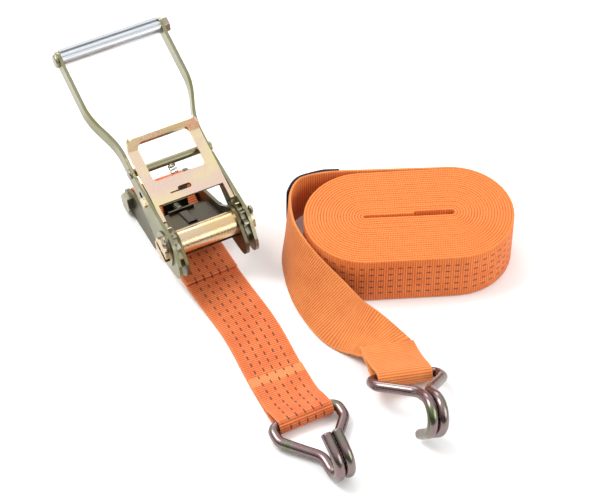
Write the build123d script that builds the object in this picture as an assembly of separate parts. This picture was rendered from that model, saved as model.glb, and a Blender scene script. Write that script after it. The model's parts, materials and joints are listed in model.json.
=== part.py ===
"""Ratchet tie down: a wide-handle ratchet buckle with a short sewn strap and claw hook, and a long
rolled strap with its own claw hook.

Working frame while modelling: X across the buckle (along the spindle), Y from the spindle towards
the strap bolt, Z up, ground at Z = 0 and the spindle axis at Y = 0.  At the end everything is moved
so that the origin is the middle of the footprint on the ground.
"""
from build123d import *
from math import asin, atan2, cos, degrees, hypot, radians, sin, sqrt
import os

# ---- webbing -------------------------------------------------------------------------------
WEB_WIDTH = 50.0          # width of both straps
WEB_T = 2.5               # thickness of one layer of webbing

# ---- buckle frame --------------------------------------------------------------------------
SPINDLE_Z = 50.0          # height of the spindle axis over the ground
BOLT_Y = 99.0             # strap bolt, measured back from the spindle
BOLT_Z = 11.7             # height of the strap bolt
STRAP_PLAY = 2.0          # strap edge to frame plate
PLATE_T = 3.0             # frame and handle plates
FRAME_END_R = 11.7        # round end of a frame plate at the strap bolt
FRAME_EYE_R = 15.0        # frame plate round the spindle
FRAME_NOSE = (-14.0, -9.5)  # middle of the frame plate's nose, from the spindle
FRAME_NOSE_R = 12.0
FOOT_Y = 47.0             # pointed foot of the frame plates
NOTCH_R = 8.0             # notch between foot and nose, where the open handle locks
LAYER_GAP = 0.5           # side play between plates and ratchet wheels
BOLT_R = 5.0              # M10 strap bolt
SLEEVE_R = 8.0            # sleeve that the sewn strap turns on
RUN_CLEARANCE = 0.06      # radial clearance of a running fit
WEB_PLATE_T = 3.0         # cross plate of the frame
DIP_T = 6.0               # top edge of the plates, over the line from spindle to bolt
CROSS_S = (38.0, 71.0)    # cross plate, from the spindle along the frame line
CROSS_LOW = -7.5          # its middle, under the frame line
SEAT_HEIGHT = 11.5        # upturned spring seat of the cross plate
BOLT_HEAD = 4.9           # head and nut of the strap bolt

# ---- frame pawl ----------------------------------------------------------------------------
PAWL_BACK = 57.0          # finger end of the pawl, from the spindle
PAWL_T = 3.5
PAWL_LOW = -2.0           # its middle plane, under the frame line
PAWL_LIP = 2.6            # upturned finger edge
PAWL_EAR_END = 46.0       # ears reach through the frame plates up to here
PAWL_BITE = 1.1           # gap from its tips to the root of the teeth as it rests

# ---- spindle and ratchet wheels ------------------------------------------------------------
SPINDLE_R = 11.5          # the two half-rounds together
SLOT_GAP = 4.8            # winding slot between the half-rounds
SLOT_TILT = 18.0          # how far the slot leans from level
WHEEL_T = 4.0
WHEEL_TIP_R = 20.5
WHEEL_ROOT_R = 16.8
TEETH = 12
TOOTH_PHASE = -7.3        # turns the teeth so that the frame pawl rests between two of them
SPINDLE_OVERHANG = 5.2    # spindle past the handle plates
WASHER_T = 1.2
WASHER_R = 16.0
PIN_R = 1.6               # split pins

# ---- handle --------------------------------------------------------------------------------
HANDLE_ANGLE = 18.0       # the handle's rise over the ground as it rests
HANDLE_HUB_R = 21.0
HANDLE_NOSE_U = -18.0     # the hub's nose ahead of the spindle
HANDLE_NOSE_R = 11.5
ARM_HEIGHT = 14.0
ARM_STRAIGHT = 92.0       # arms stay parallel up to here from the spindle
ARM_FLARE_END = 152.0     # arms are parallel again from here on
GRIP_U = 206.0            # grip axis from the spindle
ARM_FLARE = 13.5          # each arm steps out this far towards the grip
GRIP_R = 6.6
GRIP_BORE_R = 4.1
GRIP_LIP = 4.0            # thumb lip standing off the grip tube
SPACER_U = 76.0           # spacer tube between the arms
SPACER_W = 3.0
SPACER_R = 3.6
SPACER_RIVET_R = 2.4
HEAD_T = 3.2
ARM_END = 12.0            # arms are cut this far past the grip axis

# ---- release slider on the handle ----------------------------------------------------------
SLIDER_T = 2.5
SLIDER_PLAY = 0.6         # slider edge to handle plate
SLIDER_TOP_U = 92.0       # finger flange turns up here, from the spindle
SLIDER_FLANGE = (7.0, 11.0)  # the flange's run back and rise
SLIDER_PLANE = 12.5       # finger plate over the handle's centre line
SLIDER_CROSS_U = (34.0, 56.5)  # crosspiece under the finger window
SIDE_FLANGE_U = (37.0, 60.0)   # sides turned down between wheels and handle plates
SLIDER_RAIL = 9.5         # rails beside the finger window
SLIDER_SLOT_AT = (-2.0, 43.0)  # slot in the crosspiece
TRAVEL = 6.0              # how far each pawl is drawn back
TOOTH_GAP = 0.6           # slider tips to the circle of the tooth tips
EAR_U = (42.0, 50.0)      # guide ears of the slider
EAR_OUT = 2.0             # ears stand out of the handle plates
EAR_HEIGHT = 4.4
EAR_W = 3.0               # middle of the ears, over the handle's centre line
LUG_U = 49.5              # spring lug under the crosspiece
LUG_LOW = -3.8            # its lower end
SPRING_W = 0.0

# ---- hooks ---------------------------------------------------------------------------------
WIRE_R = 4.6              # hook wire
EYE_PLAY = 1.0            # strap edge to the eye's side wires
EYE_DEPTH = 44.0          # loop bar to where the wires run together
SHANK = 58.0              # loop bar to the centre of the hook bend
BEND_R = 15.5             # centre line of the hook bend
BEND_TURN = 160.0
TIP_RUN = 18.0
WIRE_GAP = 0.3

# ---- fixed strap ---------------------------------------------------------------------------
FIX_BAR_Y = -188.0        # loop bar of the fixed strap's hook
LOOP_PLAY = 0.7           # strap loops turn freely by this much
FLOOR_GAP = 0.2           # strap loops clear the ground by this much
NEAR_OVERLAP_Y = -9.0     # sewn overlap of the bolt loop ends here
HOOK_OVERLAP = 30.0       # sewn overlap behind the hook loop

# ---- rolled strap --------------------------------------------------------------------------
ROLL_AT = (168.5, -60.0)  # middle of the roll
ROLL_TURN = -22.5         # long axis of the roll
ROLL_LENGTH = 187.0
ROLL_WIDTH = 110.0
ROLL_SLOT = 3.6           # slit in the middle of the roll
LABEL_T = 0.9
LABEL_HEIGHT = 44.0
# lower (then left) edge of the long strap's tail: x, y, z, heading, tilt from lying flat
TAIL = [(151.0, 9.2, 0.0, 157.5, 90.0),
        (139.0, 14.6, 0.0, 159.0, 90.0),
        (122.0, 20.4, 0.0, 165.0, 90.0),
        (104.0, 22.5, 0.0, 190.0, 90.0),
        (89.0, 14.0, 0.0, 219.0, 88.0),
        (76.5, -1.0, 0.0, 235.0, 84.0),
        (65.0, -20.0, 0.0, 243.0, 77.0),
        (57.0, -42.0, 0.0, 254.0, 67.0),
        (51.5, -67.0, 0.0, 264.0, 53.0),
        (50.5, -92.0, 0.0, 273.0, 38.0),
        (53.5, -118.0, 0.6, 279.0, 22.0),
        (63.5, -138.0, 5.0, 281.0, 4.0)]
LONG_BAR_XY = (92.0, -191.5)              # loop bar of the long strap's hook
LONG_BAR_DIR = (0.973, -0.147, -0.178)     # the bar, from its left end to its right end
LONG_SHANK_DIR = (-0.0363, -0.859, 0.5105)  # from the bar towards the hook bend
LONG_PULL = 26.7                          # strap pulls this far below the shank
LONG_NECK = 26.0

# ---- sizes that follow from the ones above -------------------------------------------------
INNER_HALF = WEB_WIDTH / 2 + STRAP_PLAY                       # half clear width of the frame
FRAME_IN = INNER_HALF
FRAME_OUT = INNER_HALF + PLATE_T
WHEEL_IN = FRAME_OUT + LAYER_GAP
WHEEL_OUT = WHEEL_IN + WHEEL_T
HANDLE_IN = WHEEL_OUT + LAYER_GAP
HANDLE_OUT = HANDLE_IN + PLATE_T
GRIP_HALF = HANDLE_IN + ARM_FLARE                             # half of the grip's length
SLIDER_HALF = HANDLE_IN - SLIDER_PLAY
EYE_HALF = WEB_WIDTH / 2 + EYE_PLAY + WIRE_R                  # centre of the eye's side wires
EYE_CORNER = WIRE_R + 2.4                                     # bend between loop bar and side wires
BAR_Z = WIRE_R + LOOP_PLAY + WEB_T + FLOOR_GAP                # height of the fixed strap's loop bar
LONG_BAR_AT = (*LONG_BAR_XY, BAR_Z + 0.05 - LONG_BAR_DIR[2] * WEB_WIDTH / 2)  # its lower end clears too
SPINDLE_END = HANDLE_OUT + SPINDLE_OVERHANG
WASHER_IN = HANDLE_OUT + 0.2
FRAME_TILT = degrees(atan2(BOLT_Z - SPINDLE_Z, BOLT_Y))       # spindle-to-bolt line
FRAME_LINE = hypot(BOLT_Y, SPINDLE_Z - BOLT_Z)
SLIDER_TIP = sqrt((WHEEL_TIP_R + TOOTH_GAP) ** 2 - (SLIDER_PLANE - SLIDER_T / 2) ** 2)
PAWL_S = (WHEEL_ROOT_R + PAWL_BITE, PAWL_BACK)                # frame pawl along the frame line
SIDES = (("left", -1), ("right", 1))


# ---- helpers -------------------------------------------------------------------------------
def across(sketch, x0, x1):
    """Extrude a profile drawn with x = working Y and y = working Z from X = x0 to X = x1."""
    plane = Plane(origin=(x0, 0, 0), x_dir=(0, 1, 0), z_dir=(1, 0, 0))
    return extrude(plane * sketch, amount=x1 - x0)


def rod(y, z, r, x0, x1):
    """Round bar along X."""
    return across(Pos(y, z) * Circle(r), x0, x1)


def tube(y, z, r_out, r_in, x0, x1):
    return across(Pos(y, z) * (Circle(r_out) - Circle(r_in)), x0, x1)


def hexagon(y, z, across_flats, x0, x1):
    prism = across(Pos(y, z) * RegularPolygon(across_flats / sqrt(3), 6), x0, x1)
    return prism & rod(y, z, across_flats * 0.565, x0, x1)


def on_frame(shape):
    """From frame line coordinates (y along spindle to bolt, z square to it) to the frame."""
    return Pos(0, 0, SPINDLE_Z) * Rot(FRAME_TILT, 0, 0) * shape


def on_handle(shape):
    """From handle coordinates (y along the arms, z square to them) to the resting handle."""
    return Pos(0, 0, SPINDLE_Z) * Rot(HANDLE_ANGLE, 0, 0) * shape


def slab(outline, x0, x1, corner=0.0):
    face = make_face(Polyline(*outline, close=True))
    if corner:
        face = fillet(face.vertices(), corner)
    return across(face, x0, x1)


def tangent_hull(c0, r0, c1, r1):
    """Two discs joined by their outer tangents."""
    gap = hypot(c1[0] - c0[0], c1[1] - c0[1])
    heading = degrees(atan2(c1[1] - c0[1], c1[0] - c0[0]))
    lean = asin((r0 - r1) / gap)
    corners = []
    for sign in (1, -1):
        nx, ny = sin(lean), sign * cos(lean)
        corners.append([(nx * r0, ny * r0), (gap + nx * r1, ny * r1)])
    (a, b), (d, c) = corners
    body = make_face(Polyline(a, b, c, d, close=True))
    both = body + Circle(r0) + Pos(gap, 0) * Circle(r1)
    return Pos(*c0) * Rot(0, 0, heading) * both


# ---- buckle frame --------------------------------------------------------------------------
def frame_plate(side):
    spindle = (0.0, SPINDLE_Z)
    bolt = (BOLT_Y, BOLT_Z)
    line = make_face(Polyline((0, -FRAME_EYE_R), (FRAME_LINE, -FRAME_END_R), (FRAME_LINE, FRAME_END_R),
                              (FRAME_LINE - 12, FRAME_END_R), (FRAME_LINE - 26, DIP_T),
                              (2 * FRAME_EYE_R, DIP_T), (4, FRAME_EYE_R - 0.5), (0, 0), close=True))
    nose = tangent_hull((0, 0), FRAME_EYE_R, FRAME_NOSE, FRAME_NOSE_R)
    outline = Pos(*spindle) * (nose + Rot(0, 0, FRAME_TILT) * line)
    outline += Pos(*bolt) * Circle(FRAME_END_R)
    foot = make_face(Polyline((FOOT_Y, 0), (BOLT_Y, BOLT_Z - FRAME_END_R), (BOLT_Y, BOLT_Z),
                              (0, SPINDLE_Z - 12), (FRAME_NOSE[0], SPINDLE_Z + FRAME_NOSE[1] - FRAME_NOSE_R),
                              (FOOT_Y - 17, SPINDLE_Z - 24), close=True))
    notch = Pos(FOOT_Y - NOTCH_R - 1.5, 8.0) * Circle(NOTCH_R)
    notch += Pos(FOOT_Y - 2 * NOTCH_R - 1.5, 0) * Rectangle(2 * NOTCH_R, 16.0)
    outline = outline + (foot - notch)
    outline -= Pos(*spindle) * Circle(SPINDLE_R + RUN_CLEARANCE)
    outline -= Pos(*bolt) * Circle(BOLT_R)
    plate = across(outline, FRAME_IN, FRAME_OUT)
    window_from = PAWL_S[0] - 1.0
    window_to = PAWL_EAR_END + TRAVEL + 0.8
    window = Box(PLATE_T + 2, window_to - window_from, PAWL_T + 0.8)
    window = Pos((FRAME_IN + FRAME_OUT) / 2, (window_from + window_to) / 2, PAWL_LOW) * window
    plate -= on_frame(window)
    return plate if side > 0 else mirror(plate, Plane.YZ)


def frame_cross_plate():
    bed = Box(2 * INNER_HALF, CROSS_S[1] - CROSS_S[0], WEB_PLATE_T)
    bed = Pos(0, sum(CROSS_S) / 2, CROSS_LOW) * bed
    seat = Box(24, WEB_PLATE_T, SEAT_HEIGHT)
    seat = Pos(0, CROSS_S[1] - WEB_PLATE_T / 2, CROSS_LOW + SEAT_HEIGHT / 2) * seat
    return on_frame(bed + seat)


def frame_pawl():
    """Flat pawl that slides towards the ratchet wheels; its two tips reach through the plates."""
    tip, back = PAWL_S
    middle = Pos(0, (tip + 6 + back) / 2, PAWL_LOW) * Box(2 * INNER_HALF - 0.6, back - tip - 6, PAWL_T)
    body = middle
    for side in (-1, 1):
        width = WHEEL_OUT - INNER_HALF + 4.0
        ear = Box(width, PAWL_EAR_END - tip, PAWL_T)
        ear = Pos(side * (WHEEL_OUT - width / 2), (tip + PAWL_EAR_END) / 2, PAWL_LOW) * ear
        body += ear
    lip = Box(24, 2.5, PAWL_T + PAWL_LIP)
    lip = Pos(0, back - 1.25, PAWL_LOW + PAWL_LIP / 2) * lip
    rib = Pos(0, (tip + back) / 2 + 2, PAWL_LOW + 1.6) * Box(9, back - tip - 16, PAWL_T)
    rib = fillet(rib.edges().filter_by(Axis.Y).sort_by(Axis.Z)[-2:], 1.5)
    return on_frame(body + lip + rib)


def coil_spring(radius, wire, length, turns):
    """Open compression spring along +Z from the origin, closed by flat rings."""
    path = Helix(pitch=(length - 2 * wire) / turns, height=length - 2 * wire, radius=radius)
    coil = sweep(Plane(origin=path @ 0, z_dir=path % 0) * Circle(wire / 2), path=path, is_frenet=True)
    band = 0.6 * wire
    ring = Cylinder(radius + band, 1.1 * wire) - Cylinder(radius - band, 2 * wire)
    coil = Pos(0, 0, wire) * coil
    return coil + Pos(0, 0, 0.55 * wire) * ring + Pos(0, 0, length - 0.55 * wire) * ring


def frame_pawl_spring():
    free = CROSS_S[1] - WEB_PLATE_T - PAWL_S[1]
    spring = coil_spring(3.2, 0.8, free - 0.2, 4)
    spring = Pos(0, PAWL_S[1] + 0.1, PAWL_LOW + 1.4) * Rot(-90, 0, 0) * spring
    return on_frame(spring)


def strap_bolt():
    shank = rod(BOLT_Y, BOLT_Z, BOLT_R, -FRAME_OUT, FRAME_OUT + BOLT_HEAD + 1.4)
    return shank + hexagon(BOLT_Y, BOLT_Z, 17.0, -FRAME_OUT - BOLT_HEAD, -FRAME_OUT)


def strap_bolt_nut():
    nut = hexagon(BOLT_Y, BOLT_Z, 17.0, FRAME_OUT, FRAME_OUT + BOLT_HEAD)
    return nut - rod(BOLT_Y, BOLT_Z, BOLT_R, FRAME_OUT - 1, FRAME_OUT + 12)


def bolt_sleeve():
    end = INNER_HALF - 0.1
    return tube(BOLT_Y, BOLT_Z, SLEEVE_R, BOLT_R + 0.15, -end, end)


# ---- spindle -------------------------------------------------------------------------------
def half_round_profile(sign, radius):
    disc = Circle(radius)
    keep = Pos(0, sign * (SLOT_GAP / 2 + radius)) * Rectangle(4 * radius, 2 * radius)
    return Pos(0, SPINDLE_Z) * Rot(0, 0, SLOT_TILT) * (disc & keep)


def pin_bore(side, radius):
    """Split pin hole, square to the winding slot."""
    x = side * (WASHER_IN + WASHER_T + PIN_R + 0.15)
    length = 2 * SPINDLE_R + 7.0
    return Pos(x, 0, SPINDLE_Z) * Rot(SLOT_TILT, 0, 0) * Cylinder(radius, length)


def spindle_half(sign):
    half = across(half_round_profile(sign, SPINDLE_R), -SPINDLE_END, SPINDLE_END)
    for _, side in SIDES:
        half -= pin_bore(side, PIN_R + 0.05)
    return half


def split_pin(side):
    pin = pin_bore(side, PIN_R)
    x = side * (WASHER_IN + WASHER_T + PIN_R + 0.15)
    eye = Torus(2.6, PIN_R * 0.9)
    eye = Pos(0, 0, SPINDLE_R + 5.2) * Rot(0, 90, 0) * eye
    return pin + Pos(x, 0, SPINDLE_Z) * Rot(SLOT_TILT, 0, 0) * eye


def ratchet_wheel(side):
    pitch = 360.0 / TEETH
    profile = Circle(WHEEL_ROOT_R)
    for k in range(TEETH):
        foot0, foot1, tip0, tip1 = 0.0, pitch * 0.72, pitch * 0.60, pitch * 0.74
        points = [(WHEEL_ROOT_R - 1.5, foot0), (WHEEL_TIP_R, tip0), (WHEEL_TIP_R, tip1),
                  (WHEEL_ROOT_R - 1.5, foot1 + 1.5)]
        start = FRAME_TILT + k * pitch + TOOTH_PHASE
        corners = [(r * cos(radians(start + a)), r * sin(radians(start + a))) for r, a in points]
        profile += make_face(Polyline(*corners, close=True))
    profile &= Circle(WHEEL_TIP_R)
    wheel = across(Pos(0, SPINDLE_Z) * profile, WHEEL_IN, WHEEL_OUT)
    for sign in (-1, 1):
        wheel -= across(half_round_profile(sign, SPINDLE_R), WHEEL_IN - 1, WHEEL_OUT + 1)
    return wheel if side > 0 else mirror(wheel, Plane.YZ)


def spindle_washer(side):
    washer = tube(0, SPINDLE_Z, WASHER_R, SPINDLE_R, WASHER_IN, WASHER_IN + WASHER_T)
    return washer if side > 0 else mirror(washer, Plane.YZ)


# ---- handle --------------------------------------------------------------------------------
def arm_plan():
    """Plan of the right arm: sketch x = working X, sketch y = distance from the spindle."""
    far = GRIP_U + ARM_END
    start = HANDLE_NOSE_U - HANDLE_NOSE_R - 2
    bow = Spline((HANDLE_IN, ARM_STRAIGHT), (GRIP_HALF, ARM_FLARE_END), tangents=((0, 1), (0, 1)))
    outer_bow = Pos(PLATE_T, 0) * bow
    x0, x1 = HANDLE_IN, GRIP_HALF
    edges = [Line((x0, start), (x0, ARM_STRAIGHT)), bow, Line((x1, ARM_FLARE_END), (x1, far)),
             Line((x1, far), (x1 + PLATE_T, far)), Line((x1 + PLATE_T, far), (x1 + PLATE_T, ARM_FLARE_END)),
             outer_bow, Line((x0 + PLATE_T, ARM_STRAIGHT), (x0 + PLATE_T, start)),
             Line((x0 + PLATE_T, start), (x0, start))]
    return make_face(Curve() + edges)


def handle_plate(side):
    plan = extrude(arm_plan(), amount=60, both=True)
    hub = tangent_hull((0, 0), HANDLE_HUB_R, (66.0, 0.6), ARM_HEIGHT / 2 + 0.6)
    hub += tangent_hull((0, 0), HANDLE_HUB_R, (HANDLE_NOSE_U, -1.0), HANDLE_NOSE_R)
    bar = make_face(Polyline((60, -ARM_HEIGHT / 2), (GRIP_U, -ARM_HEIGHT / 2), (GRIP_U, ARM_HEIGHT / 2),
                             (60, ARM_HEIGHT / 2), close=True))
    outline = hub + bar + Pos(GRIP_U, 0) * Circle(ARM_HEIGHT / 2 + 1)
    outline -= Circle(SPINDLE_R + RUN_CLEARANCE)
    outline -= Pos(GRIP_U, 0) * Circle(GRIP_BORE_R - 0.1)
    outline -= Pos(SPACER_U, SPACER_W) * Circle(SPACER_RIVET_R)
    slot_from, slot_to = EAR_U[0] - 0.6, EAR_U[1] + TRAVEL + 0.6
    slot = Pos((slot_from + slot_to) / 2, EAR_W) * Rectangle(slot_to - slot_from, EAR_HEIGHT + 0.8)
    plate = plan & across(outline - slot, 0, 80)
    plate = on_handle(plate)
    return plate if side > 0 else mirror(plate, Plane.YZ)


def hand_grip():
    """Extruded grip tube with a raised thumb lip and a groove along it."""
    lip = Pos(GRIP_R - 1.2, GRIP_R - 3.4) * Rectangle(2.6, 2 * GRIP_LIP)
    groove = Pos(-GRIP_R * 0.3, GRIP_R) * Rectangle(2.4, 2.0)
    section = Circle(GRIP_R) + lip - groove - Circle(GRIP_BORE_R)
    end = GRIP_HALF - 0.1
    return on_handle(across(Pos(GRIP_U, 0) * section, -end, end))


def grip_bolt():
    end = GRIP_HALF + PLATE_T
    rod_ = rod(GRIP_U, 0, GRIP_BORE_R - 0.1, -end, end + 5.0)
    head = rod(GRIP_U, 0, 6.5, -end - HEAD_T, -end)
    return on_handle(rod_ + fillet(head.faces().sort_by(Axis.X)[0].edges(), 1.8))


def grip_nut():
    end = GRIP_HALF + PLATE_T
    nut = hexagon(GRIP_U, 0, 13.0, end, end + 5.5) - rod(GRIP_U, 0, GRIP_BORE_R - 0.1, end - 1, end + 9)
    return on_handle(nut)


def handle_spacer():
    inner = HANDLE_IN - 0.1
    body = tube(SPACER_U, SPACER_W, SPACER_R, SPACER_RIVET_R + 0.15, -inner, inner)
    return on_handle(body)


def spacer_rivet():
    end = HANDLE_OUT
    pin = rod(SPACER_U, SPACER_W, SPACER_RIVET_R, -end, end)
    for side in (-1, 1):
        head = rod(SPACER_U, SPACER_W, SPACER_RIVET_R + 2, *sorted((side * end, side * (end + 2.4))))
        pin += fillet(head.faces().sort_by(Axis.X)[-1 if side > 0 else 0].edges(), 1.4)
    return on_handle(pin)


def release_slider():
    """Bent plate: leaning finger flange, finger window, slotted crosspiece, two tongues, and sides
    turned down whose ears slide in the handle plates."""
    t = SLIDER_T / 2
    top, high = SLIDER_TOP_U, SLIDER_PLANE
    run, rise = SLIDER_FLANGE
    outline = [(SLIDER_TIP, high - t), (top, high - t), (top + run + t, high + rise - t / 2),
               (top + run - t, high + rise + t / 2), (top - 1, high + t), (SLIDER_TIP, high + t)]
    plate = slab(outline, -SLIDER_HALF, SLIDER_HALF)
    corners = Box(2 * SLIDER_HALF, 400, 200)
    corners = fillet(corners.edges().filter_by(Axis.Y).sort_by(Axis.Z)[-2:], 7.0)
    plate &= Pos(0, 0, high + rise + t / 2 - 100) * corners
    low, mid = SLIDER_CROSS_U
    window = Box(2 * (SLIDER_HALF - SLIDER_RAIL), top + 2.5 - mid, 60)
    window = fillet(window.edges().filter_by(Axis.Z), 4.0)
    plate -= Pos(0, (top + 2.5 + mid) / 2, high) * window
    tongue_in = WHEEL_IN + 0.3
    throat = Box(2 * tongue_in, low - SLIDER_TIP + 20, 60)
    plate -= Pos(0, (low + SLIDER_TIP - 20) / 2, high) * throat
    slot_x, slot_u = SLIDER_SLOT_AT
    slot = Box(8, 4.6, 20) + Pos(4, 0) * Cylinder(2.3, 20) + Pos(-4, 0) * Cylinder(2.3, 20)
    slot += Pos(-9, -1.4) * Box(10, 1.4, 20)
    plate -= Pos(slot_x, slot_u, high) * slot
    for _, side in SIDES:
        turned = Box(SLIDER_T, SIDE_FLANGE_U[1] - SIDE_FLANGE_U[0], high)
        plate += Pos(side * (SLIDER_HALF - t), sum(SIDE_FLANGE_U) / 2, high / 2) * turned
        width = HANDLE_OUT + EAR_OUT - SLIDER_HALF + SLIDER_T / 2
        ear = Box(width, EAR_U[1] - EAR_U[0], EAR_HEIGHT)
        plate += Pos(side * (HANDLE_OUT + EAR_OUT - width / 2), sum(EAR_U) / 2, EAR_W) * ear
    lug = Pos(0, LUG_U, (LUG_LOW + high) / 2) * Box(9, SLIDER_T, high - LUG_LOW)
    return on_handle(plate + lug)


def release_slider_spring():
    start = LUG_U + SLIDER_T / 2
    end = SPACER_U - SPACER_R
    spring = coil_spring(3.2, 0.8, end - start - 0.3, 6)
    return on_handle(Pos(0, start + 0.1, SPRING_W) * Rot(-90, 0, 0) * spring)


# ---- hooks ---------------------------------------------------------------------------------
def wire_hook():
    """Double claw hook in its own frame: loop bar along X at the origin, shanks along -Y, both
    tips bent up to +Z.  One wire makes it all."""
    lane = WIRE_R + WIRE_GAP / 2
    half = [(lane, -SHANK), (lane, -EYE_DEPTH), (EYE_HALF, -EYE_CORNER * 2.2), (EYE_HALF, 0)]
    points = half + [(-x, y) for x, y in reversed(half)]
    radii = [14.0, 9.0, EYE_CORNER, EYE_CORNER, 9.0, 14.0]
    path = FilletPolyline(*points, radius=radii)
    section = Plane(origin=(lane, -SHANK, 0), z_dir=(0, 1, 0)) * Circle(WIRE_R)
    hook = sweep(section, path=path)
    for side in (-1, 1):
        disc = Plane(origin=(side * lane, -SHANK, 0), z_dir=(0, 1, 0)) * Circle(WIRE_R)
        bend = revolve(disc, axis=Axis((side * lane, -SHANK, BEND_R), (-1, 0, 0)), revolution_arc=BEND_TURN)
        turn = radians(BEND_TURN)
        end = (side * lane, -SHANK - BEND_R * sin(turn), BEND_R - BEND_R * cos(turn))
        run = extrude(Plane(origin=end, z_dir=(0, -cos(turn), sin(turn))) * Circle(WIRE_R), amount=TIP_RUN)
        tip = run.faces().sort_by(lambda f: (f.center() - Vector(*end)).length)[-1]
        hook += bend + fillet(run.edges().sort_by(lambda e: (e.center() - Vector(*end)).length)[-1], 1.6)
    return hook


def fixed_hook():
    dip = degrees(asin((BAR_Z - WIRE_R) / (SHANK + BEND_R * 0.5)))
    return Pos(0, FIX_BAR_Y, BAR_Z) * Rot(dip, 0, 0) * wire_hook()


def long_hook():
    return long_hook_plane() * wire_hook()


# ---- straps --------------------------------------------------------------------------------
def strap_loop(inner_r, neck):
    """Teardrop loop about the origin in sketch axes, its two layers meeting at (neck, 0)."""
    outer = tangent_hull((0, 0), inner_r + WEB_T, (neck, 0), WEB_T)
    inner = tangent_hull((0, 0), inner_r, (neck - 2.0, 0), 0.15)
    return outer - inner


def fixed_strap():
    """Loop on the bolt sleeve, flat run along the ground under the frame, loop on the hook bar."""
    half = WEB_WIDTH / 2
    bolt_loop_r, hook_loop_r = SLEEVE_R + LOOP_PLAY, WIRE_R + LOOP_PLAY
    bolt_neck, hook_neck = 44.0, 26.0
    drop = BOLT_Z - WEB_T
    angle = 180 + degrees(asin(drop / bolt_neck))
    profile = Pos(BOLT_Y, BOLT_Z) * Rot(0, 0, angle) * strap_loop(bolt_loop_r, bolt_neck)
    neck_y = BOLT_Y - sqrt(bolt_neck ** 2 - drop ** 2)
    rise = BAR_Z - WEB_T
    dip = degrees(asin(rise / hook_neck))
    profile += Pos(FIX_BAR_Y, BAR_Z) * Rot(0, 0, -dip) * strap_loop(hook_loop_r, hook_neck)
    hook_neck_y = FIX_BAR_Y + sqrt(hook_neck ** 2 - rise ** 2)
    hook_overlap_y = hook_neck_y + HOOK_OVERLAP

    def layer(y0, y1, thick):
        return make_face(Polyline((y0, 0), (y1, 0), (y1, thick), (y0, thick), close=True))

    profile += layer(hook_neck_y - 1.5, neck_y + 1.5, WEB_T)
    profile += layer(NEAR_OVERLAP_Y, neck_y + 1.5, 2 * WEB_T)
    profile += layer(hook_neck_y - 1.5, hook_overlap_y, 2 * WEB_T)
    return across(profile, -half, half)


def roll_outline(offset):
    straight = ROLL_LENGTH - ROLL_WIDTH
    return SlotOverall(straight + ROLL_WIDTH + 2 * offset, ROLL_WIDTH + 2 * offset)


def strap_roll():
    slit = SlotOverall(ROLL_LENGTH - ROLL_WIDTH - 6, ROLL_SLOT)
    ring = extrude(roll_outline(0) - slit, amount=WEB_WIDTH)
    return Pos(*ROLL_AT, 0) * Rot(0, 0, ROLL_TURN) * ring


def long_hook_plane():
    bar, shank = Vector(*LONG_BAR_DIR).normalized(), Vector(*LONG_SHANK_DIR).normalized()
    return Plane(origin=LONG_BAR_AT, x_dir=-bar, z_dir=bar.cross(shank))


def tail_section(x, y, z, heading, tilt, thick):
    forward = Vector(cos(radians(heading)), sin(radians(heading)), 0)
    right = Vector(-forward.Y, forward.X, 0)
    width = right * cos(radians(tilt)) + Vector(0, 0, 1) * sin(radians(tilt))
    middle = Vector(x, y, z + thick / 2 * cos(radians(tilt))) + width * (WEB_WIDTH / 2)
    return Plane(origin=middle, x_dir=width, z_dir=forward) * Rectangle(WEB_WIDTH, thick)


def long_tail():
    bar, shank = Vector(*LONG_BAR_DIR).normalized(), Vector(*LONG_SHANK_DIR).normalized()
    lift = bar.cross(shank)
    pull = (shank * cos(radians(LONG_PULL)) + lift * sin(radians(LONG_PULL))).normalized()
    loop_plane = Plane(origin=Vector(*LONG_BAR_AT), x_dir=-pull, z_dir=bar)
    loop = extrude(loop_plane * strap_loop(WIRE_R + LOOP_PLAY, LONG_NECK), amount=WEB_WIDTH / 2, both=True)
    sections = [tail_section(*row, WEB_T) for row in TAIL]
    for back in (LONG_NECK + 12.0, LONG_NECK - 0.5):
        plane = Plane(origin=Vector(*LONG_BAR_AT) - pull * back, x_dir=bar, z_dir=pull)
        sections.append(plane * Rectangle(WEB_WIDTH, 2 * WEB_T))
    tail = loop
    for one, two in zip(sections[:-1], sections[1:]):
        tail += loft([one, two], ruled=True)
    return tail


def strap_label():
    """Blank label sewn to the outside of the long strap, where it stands on edge."""
    run = [(x, y, heading) for x, y, _, heading, _ in TAIL[1:6]]
    gap = WEB_T / 2 + 0.3
    inner, outer = [], []
    for x, y, heading in run:
        side = (sin(radians(heading)), -cos(radians(heading)))
        inner.append((x + side[0] * gap, y + side[1] * gap))
        outer.append((x + side[0] * (gap + LABEL_T), y + side[1] * (gap + LABEL_T)))
    face = make_face(Polyline(*inner, *reversed(outer), close=True))
    return Pos(0, 0, WEB_WIDTH - LABEL_HEIGHT + 2) * extrude(face, amount=LABEL_HEIGHT)


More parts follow.
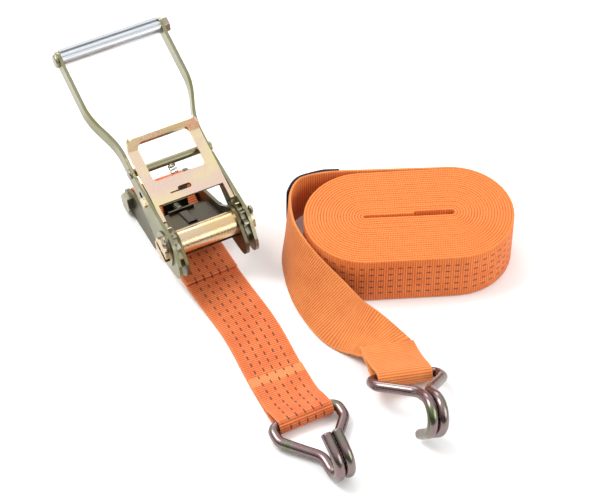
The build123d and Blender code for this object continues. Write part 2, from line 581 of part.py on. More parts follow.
# ---- build ---------------------------------------------------------------------------------
def build_parts():
    parts = {}
    for name, side in SIDES:
        parts[f"frame_plate_{name}"] = frame_plate(side)
        parts[f"handle_plate_{name}"] = handle_plate(side)
        parts[f"ratchet_wheel_{name}"] = ratchet_wheel(side)
        parts[f"spindle_washer_{name}"] = spindle_washer(side)
        parts[f"split_pin_{name}"] = split_pin(side)
    parts["frame_cross_plate"] = frame_cross_plate()
    parts["frame_pawl"] = frame_pawl()
    parts["frame_pawl_spring"] = frame_pawl_spring()
    parts["strap_bolt"] = strap_bolt()
    parts["strap_bolt_nut"] = strap_bolt_nut()
    parts["bolt_sleeve"] = bolt_sleeve()
    parts["spindle_half_upper"] = spindle_half(1)
    parts["spindle_half_lower"] = spindle_half(-1)
    parts["hand_grip"] = hand_grip()
    parts["grip_bolt"] = grip_bolt()
    parts["grip_nut"] = grip_nut()
    parts["handle_spacer"] = handle_spacer()
    parts["spacer_rivet"] = spacer_rivet()
    parts["release_slider"] = release_slider()
    parts["release_slider_spring"] = release_slider_spring()
    parts["fixed_strap"] = fixed_strap()
    parts["fixed_hook"] = fixed_hook()
    parts["strap_roll"] = strap_roll()
    parts["long_strap_tail"] = long_tail()
    parts["strap_label"] = strap_label()
    parts["long_hook"] = long_hook()
    return parts


parts = build_parts()
box = Compound(children=[Compound(list(p.solids())) for p in parts.values()]).bounding_box()
ORIGIN = Vector((box.min.X + box.max.X) / 2, (box.min.Y + box.max.Y) / 2, 0)
os.makedirs("parts", exist_ok=True)
for name, part in parts.items():
    placed = Pos(-ORIGIN.X, -ORIGIN.Y, 0) * part
    export_step(placed, f"parts/{name}.step")
    print(name, [round(v, 1) for v in placed.bounding_box().size], len(placed.solids()))
print("footprint centre", ORIGIN, "size", box.size, "lowest", box.min.Z)
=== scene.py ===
# %% [markdown]
# # A ratchet tie down, laid out on a pale floor
# The set has two halves: a ratchet buckle on a short sewn strap, and a long strap rolled up beside
# it. The metal pieces come from the CAD model as they are, and get their finish here. The webbing
# is made here, because woven straps bend, overlap and fray in ways that a plain solid can't show.

# %% Load the frame
import json
import math

import bpy
import numpy as np
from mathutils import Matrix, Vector


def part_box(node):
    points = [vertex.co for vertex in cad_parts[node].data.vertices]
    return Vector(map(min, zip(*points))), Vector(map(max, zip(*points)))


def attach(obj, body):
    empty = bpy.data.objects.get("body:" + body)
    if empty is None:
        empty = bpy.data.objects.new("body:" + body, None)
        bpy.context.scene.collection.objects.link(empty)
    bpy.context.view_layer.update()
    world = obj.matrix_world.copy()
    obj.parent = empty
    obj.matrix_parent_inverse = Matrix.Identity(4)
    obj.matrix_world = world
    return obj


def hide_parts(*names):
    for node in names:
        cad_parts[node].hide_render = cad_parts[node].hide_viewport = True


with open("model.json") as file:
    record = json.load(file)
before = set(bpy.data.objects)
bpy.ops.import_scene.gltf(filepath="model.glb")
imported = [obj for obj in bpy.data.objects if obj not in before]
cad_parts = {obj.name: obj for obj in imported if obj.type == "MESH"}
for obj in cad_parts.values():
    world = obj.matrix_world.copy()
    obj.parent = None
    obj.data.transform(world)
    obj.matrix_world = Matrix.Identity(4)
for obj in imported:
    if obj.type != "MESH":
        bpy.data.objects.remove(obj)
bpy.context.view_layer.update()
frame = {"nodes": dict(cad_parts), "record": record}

# %% [markdown]
# The modelling plan was drawn round the spindle: X along it, Y back towards the strap bolt, with
# the point on the floor under the spindle as its origin, in millimetres. The frame's origin is in
# the middle of the whole set. So we first find the spindle in the loaded model, half way between
# the outer faces of its two ratchet wheels, and make one function that carries a point of the
# plan into the scene. Typing the offset in would work too, until the model changes.

# %% Plan coordinates
left_low, left_high = (np.array(corner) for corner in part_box("ratchet_wheel_left"))
right_high = np.array(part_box("ratchet_wheel_right")[1])
SPINDLE = (left_low + right_high) / 2
SPINDLE[1] = (left_low[1] + left_high[1]) / 2
FLOOR_POINT = np.array([SPINDLE[0], SPINDLE[1], 0.0])


def plan(points):
    """Points of the modelling plan, in millimetres, as scene points in metres."""
    return np.atleast_2d(np.asarray(points, float)) / 1000 + FLOOR_POINT


print("spindle at", SPINDLE.round(4))

# %% [markdown]
# ## Writing shaders as sums
# A finish is easiest to read as arithmetic: base colour times dirt plus scratches. `Wire` wraps
# one output socket of a node, and each operator adds the Math node that does it. Colours go
# through Mix nodes instead. Every other node comes from `Finish.node`.


# %% A socket that can be added and multiplied
class Wire:
    """One value that runs through a shader, ready for ordinary arithmetic."""

    def __init__(self, finish, out):
        self.finish, self.out = finish, out

    def math(self, operation, *others):
        return self.finish.node("ShaderNodeMath", {"operation": operation}, [self, *others])

    def flipped(self, operation, first):
        return self.finish.node("ShaderNodeMath", {"operation": operation}, [first, self])

    def __add__(self, other):
        return self.math("ADD", other)

    def __radd__(self, other):
        return self.math("ADD", other)

    def __sub__(self, other):
        return self.math("SUBTRACT", other)

    def __rsub__(self, other):
        return self.flipped("SUBTRACT", other)

    def __mul__(self, other):
        return self.math("MULTIPLY", other)

    def __rmul__(self, other):
        return self.math("MULTIPLY", other)

    def __truediv__(self, other):
        return self.math("DIVIDE", other)

    def __lt__(self, other):
        return self.math("LESS_THAN", other)


class Finish:
    """A material with a Principled shader and a short way to add nodes."""

    def __init__(self, name):
        self.material = bpy.data.materials.new(name)
        self.material.use_nodes = True
        self.tree = self.material.node_tree
        self.shader = self.tree.nodes["Principled BSDF"]

    def node(self, kind, settings=None, inputs=(), output=0):
        """Add a node: its settings first, then its sockets by place or by name."""
        made = self.tree.nodes.new(kind)
        for key, value in (settings or {}).items():
            if key == "stops":
                self.set_stops(made.color_ramp, value)
            else:
                setattr(made, key, value)
        pairs = inputs.items() if isinstance(inputs, dict) else enumerate(inputs)
        for key, value in pairs:
            self.put(made.inputs[key], value)
        return Wire(self, made.outputs[output])

    def set_stops(self, ramp, stops):
        while len(ramp.elements) < len(stops):
            ramp.elements.new(1.0)
        for element, (place, colour) in zip(ramp.elements, stops):
            element.position = place
            element.color = (*colour, 1.0)

    def put(self, socket, value):
        if isinstance(value, Wire):
            self.tree.links.new(value.out, socket)
        else:
            socket.default_value = value

    def mix(self, amount, first, second, how="MIX"):
        """Blend two colours; each is a Wire or a plain (r, g, b)."""
        plain = [c if isinstance(c, Wire) else (*c, 1.0) for c in (first, second)]
        made = self.tree.nodes.new("ShaderNodeMix")
        made.data_type, made.blend_type = "RGBA", how
        colours = [s for s in made.inputs if s.type == "RGBA"]
        self.put(made.inputs[0], amount)
        for socket, colour in zip(colours, plain):
            self.put(socket, colour)
        return Wire(self, next(s for s in made.outputs if s.type == "RGBA"))

    def place(self):
        """Where a point is on the piece, in metres."""
        return self.node("ShaderNodeTexCoord", output="Object")

    def noise(self, where, scale, detail=2.0, rough=0.5):
        sockets = {"Vector": where, "Scale": scale, "Detail": detail, "Roughness": rough}
        return self.node("ShaderNodeTexNoise", {}, sockets)

    def smooth(self, value, low, high, to_low=0.0, to_high=1.0):
        """Soft step: to_low up to low, to_high from high on."""
        settings = {"interpolation_type": "SMOOTHSTEP"}
        return self.node("ShaderNodeMapRange", settings, [value, low, high, to_low, to_high])

    def bump(self, height, strength, distance):
        """Relief from a height; strength is a share, distance is in metres."""
        sockets = {"Height": height, "Strength": strength, "Distance": distance}
        return self.node("ShaderNodeBump", {}, sockets)

    def set(self, **sockets):
        """Fill the shader's own sockets, and hand the material back."""
        for key, value in sockets.items():
            self.put(self.shader.inputs[key.replace("_", " ")], value)
        return self.material


# %% [markdown]
# ## Zinc-plated steel
# The stamped plates look like steel under a thin zinc coat with a yellow chromate. The coat clouds
# from silver to straw to faint pink, carries fine rolling marks, and has duller, dirtier spots.
# Three noises at different scales make the clouds and the dirt, a stretched one makes the fine
# marks, and the same clouds move the roughness a little, so highlights break up as on real
# plating. A flat colour would be quicker, but bare metal without any marks looks like plastic. The
# pieces differ only in three colours and a roughness, so one function makes all their finishes.
# These colours also hold painted light. The frame plates and the pawl carry painted shade, the
# slider and the spindle a painted highlight. The pink and orange blush is partly the coat's own
# tint and partly a painted reflection of the orange webbing.


# %% Plated steel
def plated(name, base, straw, blush, roughness):
    """Clouds of straw and blush over the base colour, fine rolling marks and a little dirt; the blush
    is partly the coat's own tint and partly a painted reflection of the orange webbing.
    """
    finish = Finish(name)
    where = finish.place()
    stretch = finish.node("ShaderNodeVectorMath", {"operation": "MULTIPLY"}, [where, (1.0, 6.0, 1.0)])
    cloud = finish.noise(where, 22.0, 3.0, 0.55)
    patch = finish.noise(where, 55.0, 2.0, 0.5)
    marks = finish.noise(stretch, 420.0, 2.0, 0.6)
    colour = finish.mix(finish.smooth(cloud, 0.38, 0.66), base, straw)
    # blush patches: partly the coat's own tint, partly a painted reflection of the orange webbing
    colour = finish.mix(finish.smooth(patch, 0.6, 0.8) * 0.7, colour, blush)
    dirt = finish.smooth(finish.noise(where, 90.0, 4.0, 0.65), 0.62, 0.74) * 0.5
    colour = finish.mix(dirt * 0.5, colour, tuple(0.45 * v for v in base))
    rough = cloud * 0.14 + marks * 0.12 + dirt * 0.18 + (roughness - 0.13)
    normal = finish.bump(marks + patch * 0.5, 0.12, 0.0004)
    return finish.set(Base_Color=colour, Metallic=1.0, Roughness=rough, Normal=normal)


# material slot: name, base, straw, blush, roughness
PLATINGS = {
    # frame plates: the dark base, straw and blush are painted shade
    "frame_steel": ("frame_plate_painted_shade", (0.095, 0.086, 0.052), (0.14, 0.12, 0.055),
                    (0.11, 0.07, 0.045), 0.34),
    "handle_steel": ("handle_finish", (0.25, 0.24, 0.155), (0.20, 0.19, 0.09),
                     (0.25, 0.19, 0.13), 0.30),
    # pawl: the near-black colours are painted shade
    "pawl_steel": ("pawl_painted_shade", (0.060, 0.050, 0.034), (0.08, 0.06, 0.03),
                   (0.07, 0.04, 0.028), 0.40),
    # slider: the light colours are a painted highlight, and its pink is a painted reflection of the
    # orange webbing
    "slider_steel": ("slider_painted_reflection", (0.66, 0.50, 0.42), (0.68, 0.58, 0.34),
                     (0.66, 0.40, 0.40), 0.28),
    "bright_steel": ("bright_zinc", (0.30, 0.285, 0.225), (0.30, 0.27, 0.16),
                     (0.30, 0.23, 0.18), 0.30),
    # spindle: the light colours are a painted highlight, and its orange blush is a painted reflection
    # of the webbing
    "spindle_steel": ("spindle_painted_highlight", (0.58, 0.46, 0.32), (0.60, 0.42, 0.22),
                      (0.60, 0.38, 0.24), 0.25),
}
STEELS = {slot: plated(*look) for slot, look in PLATINGS.items()}
print(len(STEELS), "steel finishes")

# %% [markdown]
# The hooks are bent from thick wire. Their coat is brighter and has a faint rainbow blush, like
# that of clear chromate: green, pink and straw bands that drift slowly over the wire. A colour
# ramp over one slow noise makes the bands, so they follow each other in a fixed order, which
# separate patches of colour wouldn't. The grip is a drawn aluminium tube, plain silver with fine
# lines along its length.


# %% Hook wire and grip
def hook_wire(name, silver):
    """Plated wire with slow bands of green, pink and straw."""
    finish = Finish(name)
    where = finish.place()
    drift = finish.noise(where, 38.0, 2.0, 0.5)
    blush = finish.node("ShaderNodeValToRGB", {"stops": [
        (0.0, (0.13, 0.15, 0.09)), (0.38, silver), (0.50, (0.23, 0.15, 0.16)),
        (0.60, silver), (0.72, (0.15, 0.18, 0.09)), (1.0, (0.20, 0.14, 0.09))]}, [drift])
    pits = finish.smooth(finish.noise(where, 260.0, 3.0, 0.6), 0.60, 0.72)
    colour = finish.mix(pits * 0.35, blush, (0.22, 0.18, 0.15))
    rough = drift * 0.12 + pits * 0.15 + 0.20
    normal = finish.bump(finish.noise(where, 160.0, 3.0, 0.6), 0.10, 0.0006)
    return finish.set(Base_Color=colour, Metallic=1.0, Roughness=rough, Normal=normal)


def drawn_tube(name):
    """Bare aluminium with fine lines along the grip, which lies along X."""
    finish = Finish(name)
    where = finish.place()
    along = finish.node("ShaderNodeVectorMath", {"operation": "MULTIPLY"}, [where, (0.04, 1.0, 1.0)])
    lines = finish.noise(along, 900.0, 2.0, 0.6)
    rub = finish.smooth(finish.noise(where, 40.0, 3.0, 0.6), 0.45, 0.7)
    colour = finish.mix(lines * 0.5, (0.60, 0.62, 0.64), (0.42, 0.45, 0.48))
    rough = lines * 0.10 + rub * 0.10 + 0.28
    normal = finish.bump(lines, 0.1, 0.0003)
    return finish.set(Base_Color=colour, Metallic=1.0, Roughness=rough, Normal=normal)


STEELS["hook_steel"] = hook_wire("hook_plating", (0.22, 0.185, 0.165))
STEELS["grip_aluminium"] = drawn_tube("grip_finish")
print(len(STEELS), "metal finishes")

# %% [markdown]
# The record says which finish each CAD node takes. A CAD object brings its own material slots, so
# it is enough to put the new material into each of them.

# %% Dress the metal nodes
SOFT_NODES = {"fixed_strap", "strap_roll", "long_strap_tail", "strap_label"}
slot_of = {row["node"]: row["material_slot"] for row in frame["record"]["subparts"]}
for name, node in frame["nodes"].items():
    if name in SOFT_NODES:
        continue
    for place in node.material_slots:
        place.material = STEELS[slot_of[name]]
print("finished", len(frame["nodes"]) - len(SOFT_NODES), "metal nodes")

# %% [markdown]
# ## Webbing
# Both straps are 50 mm webbing, which is usually polyester, woven with a strong rib across the
# strap about every two millimetres and rounded selvedges. All but the free tail shows five rows of
# short dark tracer stitches. All of it repeats along the strap, so each strip carries a UV map in
# real metres: U runs along the strap and V across it. The shader works the weave out from those two
# numbers.

# %% Webbing finish
WEB = 0.050               # width, in metres
WEB_THICK = 0.00244
RIB = 0.0021              # from one cross rib to the next
WARP = 0.00125            # from one warp thread to the next
SELVEDGE = (0.0020, 0.0008)  # the woven edge starts, and is full, this far in
TRACER_PITCH = 0.0083     # a tracer stitch and the gap after it
TRACER_SHARE = 0.48       # the stitch's share of that
TRACER_HALF = (0.00055, 0.00085)  # full, and gone, this far from the middle of its row
TRACER_ROWS = (-0.0155, -0.00775, 0.0, 0.00775, 0.0155)
TRACER_COLOUR = (0.060, 0.018, 0.010)
FADED_FROM = 0.4995       # the short strap's sewn end is paler from here on
FADE_SOFT = 0.001


def wave(finish, value, period):
    """Runs smoothly from 0 to 1 and back once in each period."""
    return (value * (2 * math.pi / period)).math("SINE") * 0.5 + 0.5


def tracer_mark(finish, u, across):
    """1 on a tracer stitch, 0 beside it."""
    gap = None
    for row in TRACER_ROWS:
        apart = (across - row).math("ABSOLUTE")
        gap = apart if gap is None else gap.math("MINIMUM", apart)
    dash = (u / TRACER_PITCH).math("FRACT")
    return finish.smooth(gap, *TRACER_HALF, 1.0, 0.0) * (dash < TRACER_SHARE)


def webbing(name, deep, bright, pale, tracers, faded_from=None):
    """Ribbed weave that follows the strip's own UV map: painted shade between the ribs, a painted
    highlight on top, over a random tone.
    """
    finish = Finish(name)
    uv = finish.node("ShaderNodeUVMap", {"uv_map": "Weave"})
    u = finish.node("ShaderNodeSeparateXYZ", {}, [uv])
    v = Wire(finish, u.out.node.outputs[1])
    across = v - WEB / 2
    rib = wave(finish, u, RIB)
    warp = wave(finish, v, WARP)
    fine = finish.noise(uv, 900.0, 2.0, 0.6)
    cloud = finish.noise(uv, 60.0, 3.0, 0.5)
    # the rib and warp waves paint shade into the hollows and highlight onto the crests; the noises add
    # random tone
    tone_and_weave_shade = rib * 0.42 + warp * 0.16 + fine * 0.25 + cloud * 0.35
    stops = [(0.22, deep), (0.58, bright), (0.92, pale)]
    colour = finish.node("ShaderNodeValToRGB", {"stops": stops}, [tone_and_weave_shade])
    edge = finish.smooth(across.math("ABSOLUTE"), *(WEB / 2 - inset for inset in SELVEDGE))
    colour = finish.mix(edge * 0.35, colour, pale)
    if faded_from:
        faded = finish.smooth(u, faded_from - FADE_SOFT, faded_from + FADE_SOFT)
        colour = finish.mix(faded * 0.6, colour, pale)
    if tracers:
        colour = finish.mix(tracer_mark(finish, u, across) * 0.88, colour, TRACER_COLOUR)
    height = rib * 0.8 + warp * 0.35 + fine * 0.3
    rough = 0.82 - fine * 0.1
    normal = finish.bump(height, 0.55, 0.0007)
    return finish.set(Base_Color=colour, Roughness=rough, Normal=normal,
                      Sheen_Weight=0.05, Sheen_Roughness=0.5)


SHORT_WEB = webbing("short_strap_weave", (0.42, 0.055, 0.008), (0.64, 0.122, 0.023), (0.80, 0.27, 0.09),
                    tracers=True, faded_from=FADED_FROM)
ROLL_WEB = webbing("rolled_strap_weave", (0.50, 0.075, 0.008), (0.74, 0.160, 0.020), (0.84, 0.27, 0.06),
                   tracers=True)
TAIL_WEB = webbing("tail_weave", (0.42, 0.075, 0.012), (0.68, 0.185, 0.035), (0.80, 0.30, 0.08),
                   tracers=False)
print("three weaves,", len(TAIL_WEB.node_tree.nodes), "nodes in the plainest")

# %% [markdown]
# A strip of webbing is swept along a path of frames. Each frame is a middle point, the direction
# across the strap, and from those two and the way ahead, the direction out of its face. Fourteen
# points round the cut give a flat band with soft edges, which is all that a close look shows. A
# curve with a flat bevel would be shorter to write, but its UV map isn't in metres.


# %% Sweep a strap
def strap_cut(width, thick):
    """Closed outline of the strap's cross-section, as (across, out of face)."""
    half, edge = width / 2, thick / 2
    side = [(-half, 0.0), (-half + thick * 0.05, edge * 0.70), (-half + thick * 0.32, edge)]
    upper = side + [(x, edge) for x in (-width / 6, width / 6)] + [(-x, y) for x, y in reversed(side)]
    lower = [(x, -y) for x, y in reversed(upper[1:-1])]
    return np.array(upper + lower)


def sweep_strap(name, middles, acrosses, material, switch=None):
    """Webbing along a path; switch = (length, material) changes the finish from there on."""
    middles, acrosses = np.asarray(middles), np.asarray(acrosses)
    ahead = np.gradient(middles, axis=0)
    ahead /= np.linalg.norm(ahead, axis=1)[:, None]
    acrosses = acrosses - (acrosses * ahead).sum(1)[:, None] * ahead
    acrosses /= np.linalg.norm(acrosses, axis=1)[:, None]
    faces_out = np.cross(ahead, acrosses)
    cut = strap_cut(WEB, WEB_THICK)
    rings = middles[:, None] + acrosses[:, None] * cut[None, :, :1]
    rings = rings + faces_out[:, None] * cut[None, :, 1:]
    count, around = rings.shape[:2]
    along = np.concatenate([[0], np.cumsum(np.linalg.norm(np.diff(middles, axis=0), axis=1))])
    faces = []
    for i in range(count - 1):
        for j in range(around):
            k = (j + 1) % around
            faces.append((i * around + j, i * around + k, (i + 1) * around + k, (i + 1) * around + j))
    faces.append(tuple(range(around))[::-1])
    faces.append(tuple((count - 1) * around + j for j in range(around)))
    mesh = bpy.data.meshes.new(name)
    mesh.from_pydata(rings.reshape(-1, 3).tolist(), [], faces)
    layer = mesh.uv_layers.new(name="Weave")
    vertex = np.empty(len(mesh.loops), dtype=np.int64)
    mesh.loops.foreach_get("vertex_index", vertex)
    uv = np.stack([along[vertex // around], cut[vertex % around, 0] + WEB / 2], 1)
    layer.data.foreach_set("uv", uv.astype(np.float32).ravel())
    mesh.materials.append(material)
    if switch:
        mesh.materials.append(switch[1])
        for face in mesh.polygons:
            face.material_index = int(along[face.vertices[0] // around] > switch[0])
    mesh.shade_smooth()
    mesh.update()
    strap = bpy.data.objects.new(name, mesh)
    bpy.context.scene.collection.objects.link(strap)
    print(name, count, "rings,", round(float(along[-1]), 3), "m long")
    return strap


def smooth_path(points, per_step):
    """Catmull-Rom curve through the rows of points."""
    rows = np.asarray(points, float)
    rows = np.vstack([2 * rows[0] - rows[1], rows, 2 * rows[-1] - rows[-2]])
    out = []
    for a, b, c, d in zip(rows[:-3], rows[1:-2], rows[2:-1], rows[3:]):
        for t in np.linspace(0, 1, per_step, endpoint=False):
            out.append(0.5 * ((2 * b) + (c - a) * t + (2 * a - 5 * b + 4 * c - d) * t ** 2
                              + (3 * b - a - 3 * c + d) * t ** 3))
    out.append(rows[-2])
    return np.array(out)


# %% [markdown]
# ### The short strap
# One piece of webbing does it all. It starts on top at the buckle, runs back over itself and up
# round the sleeve on the strap bolt, comes home underneath, lies along the floor to the hook,
# turns round the hook's bar and ends on top of itself again. So it is drawn as one path in a
# side view, with the sewn overlaps a strap's thickness above the floor run. On the floor it bows
# a few millimetres to one side, as a strap does that was dropped there.

# %% Short strap
BOLT = (99.0, 11.7)       # strap bolt: back from the spindle, up from the floor
BAR = (-188.0, 8.0)       # the hook's loop bar
LOW, HIGH = 1.25, 3.75    # middles of the lower and the upper layer
BOLT_TURN_R = 8.0 + 0.7 + 1.25  # sleeve, play and half the webbing
BAR_TURN_R = 4.6 + 0.7 + 1.2    # wire, play and about half the webbing
BOW, BOW_AT, BOW_REACH = 4.0, -78.0, 46.0  # the strap bows aside this far, here, over this reach


def arc(middle, radius, start, stop, count):
    turn = np.radians(np.linspace(start, stop, count))
    return [(middle[0] + radius * math.cos(t), middle[1] + radius * math.sin(t)) for t in turn]


def strap_side_view():
    """The strap's middle line from its end under the spindle, as (back, up)."""
    side = [(y, HIGH) for y in (-9.0, 2.0, 18.0, 34.0)]
    side += [(46.0, HIGH + 0.1), (54.0, HIGH + 0.5), (64.0, 7.3), (78.0, 13.5), (88.0, 17.9)]
    side += arc(BOLT, BOLT_TURN_R, 108, -78, 13)
    side += [(90.0, 2.2), (78.0, 1.9), (64.0, 1.5), (54.0, 1.3)]
    side += [(y, LOW) for y in (44, 30, 12, -9, -30, -55, -80, -105, -125, -145, -163)]
    side += [(-171.0, LOW + 0.1)] + arc(BAR, BAR_TURN_R, -80, -260, 11)
    side += [(-176.0, 9.5), (-168.0, 5.4), (-161.0, 4.1)]
    side += [(y, HIGH) for y in (-154, -147, -140, -132)]
    return side


route = smooth_path(strap_side_view(), 6)
bow = BOW * np.exp(-((route[:, 0] - BOW_AT) / BOW_REACH) ** 2)
middles = plan(np.column_stack([bow, route]))
straight_across = np.tile([1.0, 0.0, 0.0], (len(middles), 1))
short_strap = sweep_strap("short_webbing", middles, straight_across, SHORT_WEB)
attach(short_strap, "fixed_strap")
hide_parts("fixed_strap")

# %% [markdown]
# ### The rolled strap
# Twenty-one turns of webbing, wound flat round a narrow slit. The real roll is one long strip,
# and so is this one: a spiral of ovals that grow by one strap's thickness each turn. Closed rings
# would be simpler, but the strip couldn't run on into the tail. Its layers
# never line up perfectly, so each stands a fraction of a millimetre high or low, which is what
# draws the fine rings on top. The strip then leaves the roll, walks round its end, tips over and
# twists down to the floor, and is sewn round the bar of the second hook.

# %% The roll's spiral
ROLL_MIDDLE = (168.5, -60.0)
ROLL_TURN = math.radians(-22.5)
ROLL_STRAIGHT = 38.5      # half of an oval's straight run
FIRST_RADIUS, LAST_RADIUS, PITCH = 1.9, 54.3, 2.5
TURN_STEPS = 72           # points in one turn
LAST_SHARE = 0.93         # how far round its last oval the roll ends
UNEVEN = 0.16             # layers stand up to this much high or low
UNEVEN_STEPS = 6          # their height changes this often in a turn
ROLL_LEVEL = 25.2         # middle of the layers over the floor


def oval_point(radius, share):
    """Point on an oval of straight runs and round ends, from the middle of its far side."""
    straight, bend = 2 * ROLL_STRAIGHT, math.pi * radius
    step = (share % 1.0) * 2 * (straight + bend)
    if step < straight / 2:
        return -step, radius
    step -= straight / 2
    if step < bend:
        turn = math.pi / 2 + step / radius
        return -ROLL_STRAIGHT + radius * math.cos(turn), radius * math.sin(turn)
    step -= bend
    if step < straight:
        return -ROLL_STRAIGHT + step, -radius
    step -= straight
    if step < bend:
        turn = -math.pi / 2 + step / radius
        return ROLL_STRAIGHT + radius * math.cos(turn), radius * math.sin(turn)
    return ROLL_STRAIGHT - (step - bend), radius


def roll_path():
    """The whole roll from its inner end, as points of the plan."""
    turns = (LAST_RADIUS - FIRST_RADIUS) / PITCH
    first = LAST_SHARE - (turns % 1.0)
    lift = np.random.default_rng(7).uniform(-UNEVEN, UNEVEN, 400)
    out = []
    for k in range(int(turns * TURN_STEPS) + 1):
        done = k / TURN_STEPS
        x, y = oval_point(FIRST_RADIUS + PITCH * done, first + done)
        place = done * UNEVEN_STEPS
        low, part = int(place), place - int(place)
        level = lift[low] * (1 - part) + lift[low + 1] * part
        out.append((x, y, ROLL_LEVEL + level * min(1.0, 1.2 - done / turns)))
    local = np.array(out)
    c, s = math.cos(ROLL_TURN), math.sin(ROLL_TURN)
    x = ROLL_MIDDLE[0] + c * local[:, 0] - s * local[:, 1]
    y = ROLL_MIDDLE[1] + s * local[:, 0] + c * local[:, 1]
    return np.column_stack([x, y, local[:, 2]])


roll = roll_path()
print("roll turns", round((LAST_RADIUS - FIRST_RADIUS) / PITCH, 1), "ends at", roll[-1].round(1))

# %% [markdown]
# The free tail is known by its lower edge on the floor: where it is, which way it heads, and how
# far the strap has tipped from lying flat, from 90 degrees where it stands to nearly 0 at the hook.

# %% The tail
# lower (then left) edge of the tail: x, y, z, heading, tilt from lying flat
TAIL_ROWS = [(151.0, 9.2, 0.0, 157.5, 90.0),
             (139.0, 14.6, 0.0, 159.0, 90.0),
             (122.0, 20.4, 0.0, 165.0, 90.0),
             (104.0, 22.5, 0.0, 190.0, 90.0),
             (89.0, 14.0, 0.0, 219.0, 88.0),
             (76.5, -1.0, 0.0, 235.0, 84.0),
             (65.0, -20.0, 0.0, 243.0, 77.0),
             (57.0, -42.0, 0.0, 254.0, 67.0),
             (51.5, -67.0, 0.0, 264.0, 53.0),
             (50.5, -92.0, 0.0, 273.0, 38.0),
             (53.5, -118.0, 0.6, 279.0, 22.0),
             (63.5, -138.0, 5.0, 281.0, 4.0)]
HALF_WEB = 25.0
FLAT_LIFT = 1.2           # middle of the strap over the floor where it lies flat
LONG_BAR = np.array([92.0, -191.5, 12.5])
BAR_ALONG = np.array([0.973, -0.147, -0.178])
SHANK_ALONG = np.array([-0.0363, -0.859, 0.5105])
LEAN = math.radians(26.7)  # the strap pulls this far below the hook's shank
BAR_ALONG /= np.linalg.norm(BAR_ALONG)
SHANK_ALONG /= np.linalg.norm(SHANK_ALONG)
HOOK_UNDER = np.cross(BAR_ALONG, SHANK_ALONG)
PULL = SHANK_ALONG * math.cos(LEAN) + HOOK_UNDER * math.sin(LEAN)
PULL /= np.linalg.norm(PULL)
FACE = np.cross(BAR_ALONG, PULL)
SEAM = (38.0, 31.0, 24.0)  # the sewn overlap, this far behind the bar
LAYER = 1.25              # middle of each layer, from the middle of the overlap
# way out round the bar, as (past the bar, off its middle); the way back mirrors it
LOOP_OUT = [(-12.0, 3.6), (-6.0, 5.5), (0.0, 6.5), (4.6, 4.6)]
LOOP = LOOP_OUT + [(6.5, 0.0)] + [(out, -off) for out, off in reversed(LOOP_OUT)]


def tail_frames():
    """Middles of the tail, and the directions across it, from the roll to its sewn end."""
    middles, acrosses = [], []
    for x, y, z, heading, tilt in TAIL_ROWS:
        heading, tilt = math.radians(heading), math.radians(tilt)
        side = np.array([-math.sin(heading), math.cos(heading), 0.0])
        wide = side * math.cos(tilt) + np.array([0, 0, math.sin(tilt)])
        middles.append(np.array([x, y, z + FLAT_LIFT * math.cos(tilt)]) + wide * HALF_WEB)
        acrosses.append(wide)
    middles += [LONG_BAR - PULL * back + FACE * LAYER for back in SEAM]
    middles += [LONG_BAR + PULL * out + FACE * off for out, off in LOOP]
    middles += [LONG_BAR - PULL * back - FACE * LAYER for back in reversed(SEAM)]
    acrosses += [BAR_ALONG] * (len(middles) - len(acrosses))
    return np.array(middles), np.array(acrosses)


tail_middles, tail_acrosses = tail_frames()
tail_both = smooth_path(np.hstack([tail_middles, tail_acrosses]), 8)
tail_middles, tail_acrosses = tail_both[:, :3], tail_both[:, 3:]
roll_acrosses = np.tile([0.0, 0.0, 1.0], (len(roll), 1))
roll_length = float(np.linalg.norm(np.diff(roll, axis=0), axis=1).sum()) / 1000
long_strap = sweep_strap("long_webbing", plan(np.vstack([roll, tail_middles])),
                         np.vstack([roll_acrosses, tail_acrosses]), ROLL_WEB,
                         switch=(roll_length, TAIL_WEB))
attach(long_strap, "long_strap")
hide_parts("strap_roll", "long_strap_tail")

# %% [markdown]
# ### The label
# A small dark cloth label is sewn to the outside of the long strap where it leaves the roll. It
# is left blank. It stands a little proud of the strap's upper edge and bulges between its seams.

# %% Label
LABEL_CLOTH = Finish("label_cloth")
label_where = LABEL_CLOTH.place()
label_grain = LABEL_CLOTH.noise(label_where, 1500.0, 2.0, 0.6)
label_colour = LABEL_CLOTH.mix(label_grain * 0.6, (0.018, 0.019, 0.045), (0.05, 0.05, 0.09))
LABEL_CLOTH.set(Base_Color=label_colour, Roughness=0.9 - label_grain * 0.1,
                Normal=LABEL_CLOTH.bump(label_grain, 0.3, 0.0003))
print("label cloth", len(LABEL_CLOTH.tree.nodes), "nodes")

# %% Sew the label on
LABEL_RUN = slice(1, 6)   # rows of the tail that the label is sewn along
LABEL_SHORTER = 6         # steps left out at the far end
LABEL_LEVELS = np.linspace(8.0, 51.5, 9)
LABEL_GAP, LABEL_PUFF = 1.7, 1.0  # outer face off the strap's middle, and its bulge
LABEL_THICK = 0.6


def label_points():
    """Outer and inner skin of the label, as (2, levels, steps, 3)."""
    outline = smooth_path([(x, y) for x, y, *_ in TAIL_ROWS[LABEL_RUN]], 8)[:-LABEL_SHORTER]
    step = np.gradient(outline, axis=0)
    step /= np.linalg.norm(step, axis=1)[:, None]
    out = np.column_stack([step[:, 1], -step[:, 0]])
    puff = LABEL_GAP + LABEL_PUFF * np.sin(np.linspace(0, math.pi * 2.0, len(outline))) ** 2
    tall = LABEL_LEVELS[-1] - LABEL_LEVELS[0]
    rows = []
    for level in LABEL_LEVELS:
        swell = puff * (0.75 + 0.25 * math.sin(math.pi * (level - LABEL_LEVELS[0]) / tall))
        rows.append(np.column_stack([outline + out * swell[:, None], np.full(len(outline), level)]))
    front = np.array(rows)
    back = front - np.column_stack([out, np.zeros(len(out))])[None] * LABEL_THICK
    return np.stack([front, back])


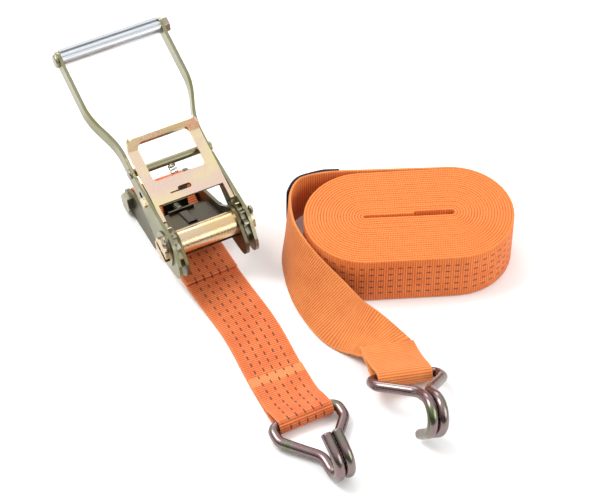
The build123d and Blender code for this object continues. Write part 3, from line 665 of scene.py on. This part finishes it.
def make_label():
    """Closed thin sheet between the two skins."""
    points = label_points()
    levels, count = points.shape[1:3]
    half = levels * count
    faces = []
    for i in range(levels - 1):
        for j in range(count - 1):
            a, d = i * count + j, (i + 1) * count + j
            b, c = a + 1, d + 1
            faces += [(a, b, c, d), (d + half, c + half, b + half, a + half)]
    rim = list(range(count))
    rim += [i * count + count - 1 for i in range(1, levels)]
    rim += [(levels - 1) * count + j for j in range(count - 2, -1, -1)]
    rim += [i * count for i in range(levels - 2, 0, -1)]
    for a, b in zip(rim, rim[1:] + rim[:1]):
        faces.append((b, a, a + half, b + half))
    mesh = bpy.data.meshes.new("blank_label")
    mesh.from_pydata(plan(points.reshape(-1, 3)).tolist(), [], faces)
    mesh.materials.append(LABEL_CLOTH.material)
    mesh.shade_smooth()
    label = bpy.data.objects.new("blank_label", mesh)
    bpy.context.scene.collection.objects.link(label)
    print("label", len(mesh.polygons), "faces")
    return label


label = make_label()
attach(label, "long_strap")
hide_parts("strap_label")

# %% [markdown]
# ## Floor, light and camera
# The set lies on a plain pale floor. Polished metal shows what is round it, so a surround that is
# white all over makes it look like paper. This one is bright overhead and behind the set, and
# dims towards the horizon in front, which gives the plates their dark sides. Three large soft
# lights shape the rest. The plain Standard view keeps the orange of the webbing as strong as it
# is. The camera looks down at about 48 degrees from well away, with a long lens, so the set keeps
# nearly parallel sides.

# %% Stage
bpy.ops.mesh.primitive_plane_add(size=14.0, location=(0, 0, -0.0006))
floor = bpy.context.object
floor.name = "floor"
pale = Finish("pale_floor")
floor.data.materials.append(pale.set(Base_Color=(0.92, 0.92, 0.915, 1.0), Roughness=0.9))


def soft_light(name, place, size, watts, colour=(1.0, 1.0, 1.0)):
    lamp = bpy.data.lights.new(name, "AREA")
    lamp.shape, lamp.size, lamp.energy, lamp.color = "DISK", size, watts, colour
    holder = bpy.data.objects.new(name, lamp)
    holder.location = place
    holder.rotation_euler = (-Vector(place)).to_track_quat("-Z", "Y").to_euler()
    bpy.context.scene.collection.objects.link(holder)


soft_light("key", (-0.9, 0.7, 1.9), 1.1, 30.0)
soft_light("fill", (1.1, -1.5, 1.1), 1.6, 24.0)
soft_light("back", (0.3, 1.8, 1.0), 1.2, 10.0)
SURROUND_FACING = (0.10, 0.42, 0.90)  # where the surround is brightest
SURROUND_FADE = (0.05, 0.75, 0.10, 1.25)  # facing: from, to; strength: from, to
world = bpy.data.worlds.new("white_surround")
world.use_nodes = True
sky = world.node_tree
direction = sky.nodes.new("ShaderNodeTexCoord")
facing = sky.nodes.new("ShaderNodeVectorMath")
facing.operation = "DOT_PRODUCT"
facing.inputs[1].default_value = SURROUND_FACING
level = sky.nodes.new("ShaderNodeMapRange")
for place, value in enumerate(SURROUND_FADE, start=1):
    level.inputs[place].default_value = value
sky.links.new(direction.outputs["Generated"], facing.inputs[0])
sky.links.new(facing.outputs["Value"], level.inputs[0])
sky.links.new(level.outputs[0], sky.nodes["Background"].inputs[1])
sky.nodes["Background"].inputs[0].default_value = (1.0, 1.0, 1.0, 1.0)
bpy.context.scene.world = world
bpy.context.scene.view_settings.view_transform = "Standard"
print("surround and", len(bpy.data.lights), "lights")

# %% Camera
CAMERA_AT = plan([(-539.6, -1240.2, 1524.5)])[0]
LOOK_AT = plan([(85.0, -14.3, 0.0)])[0]
LENS_MM, SENSOR_MM = 137.7, 36.0
lens = bpy.data.cameras.new("camera")
lens.lens, lens.sensor_width = LENS_MM, SENSOR_MM
camera = bpy.data.objects.new("camera", lens)
camera.location = CAMERA_AT
camera.rotation_euler = Vector(LOOK_AT - CAMERA_AT).to_track_quat("-Z", "Y").to_euler()
bpy.context.scene.collection.objects.link(camera)
bpy.context.scene.camera = camera
print("camera", round(float(np.linalg.norm(CAMERA_AT - LOOK_AT)), 2), "m from the set")
